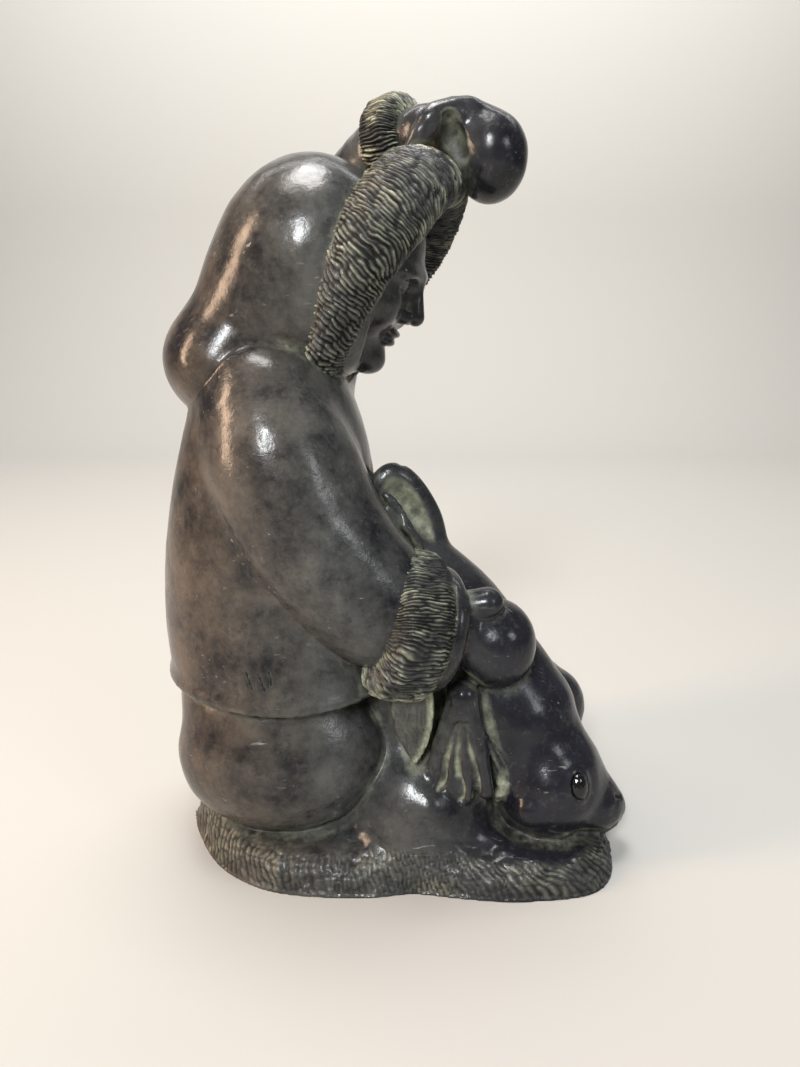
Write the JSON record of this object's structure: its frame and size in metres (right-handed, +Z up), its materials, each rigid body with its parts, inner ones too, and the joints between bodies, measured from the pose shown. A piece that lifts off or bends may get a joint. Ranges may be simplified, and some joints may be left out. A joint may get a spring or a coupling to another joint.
{
  "type": "soapstone hunter sculpture",
  "caption": "Polished dark soapstone carving of a kneeling hunter in a fur-trimmed hooded parka holding a seal, with inlaid black seal eyes and a thin rough base.",
  "frame": {"origin": "on the underside, below the middle of the bounding box", "axes": "+Z up; the hunter faces +X; the side with the lowered arm and the seal's nearer eye is -Y"},
  "size_m": [0.1932, 0.1316, 0.303],
  "materials": {
    "stone": "hand-polished dark grey soapstone, left matt and greenish in the carved grooves and on the base",
    "eye_inlay": "glossy black inlay"
  },
  "bodies": {
    "root": {"stone_carving": "stone", "seal_eye_near": "eye_inlay", "seal_eye_far": "eye_inlay"}
  },
  "joints": []
}
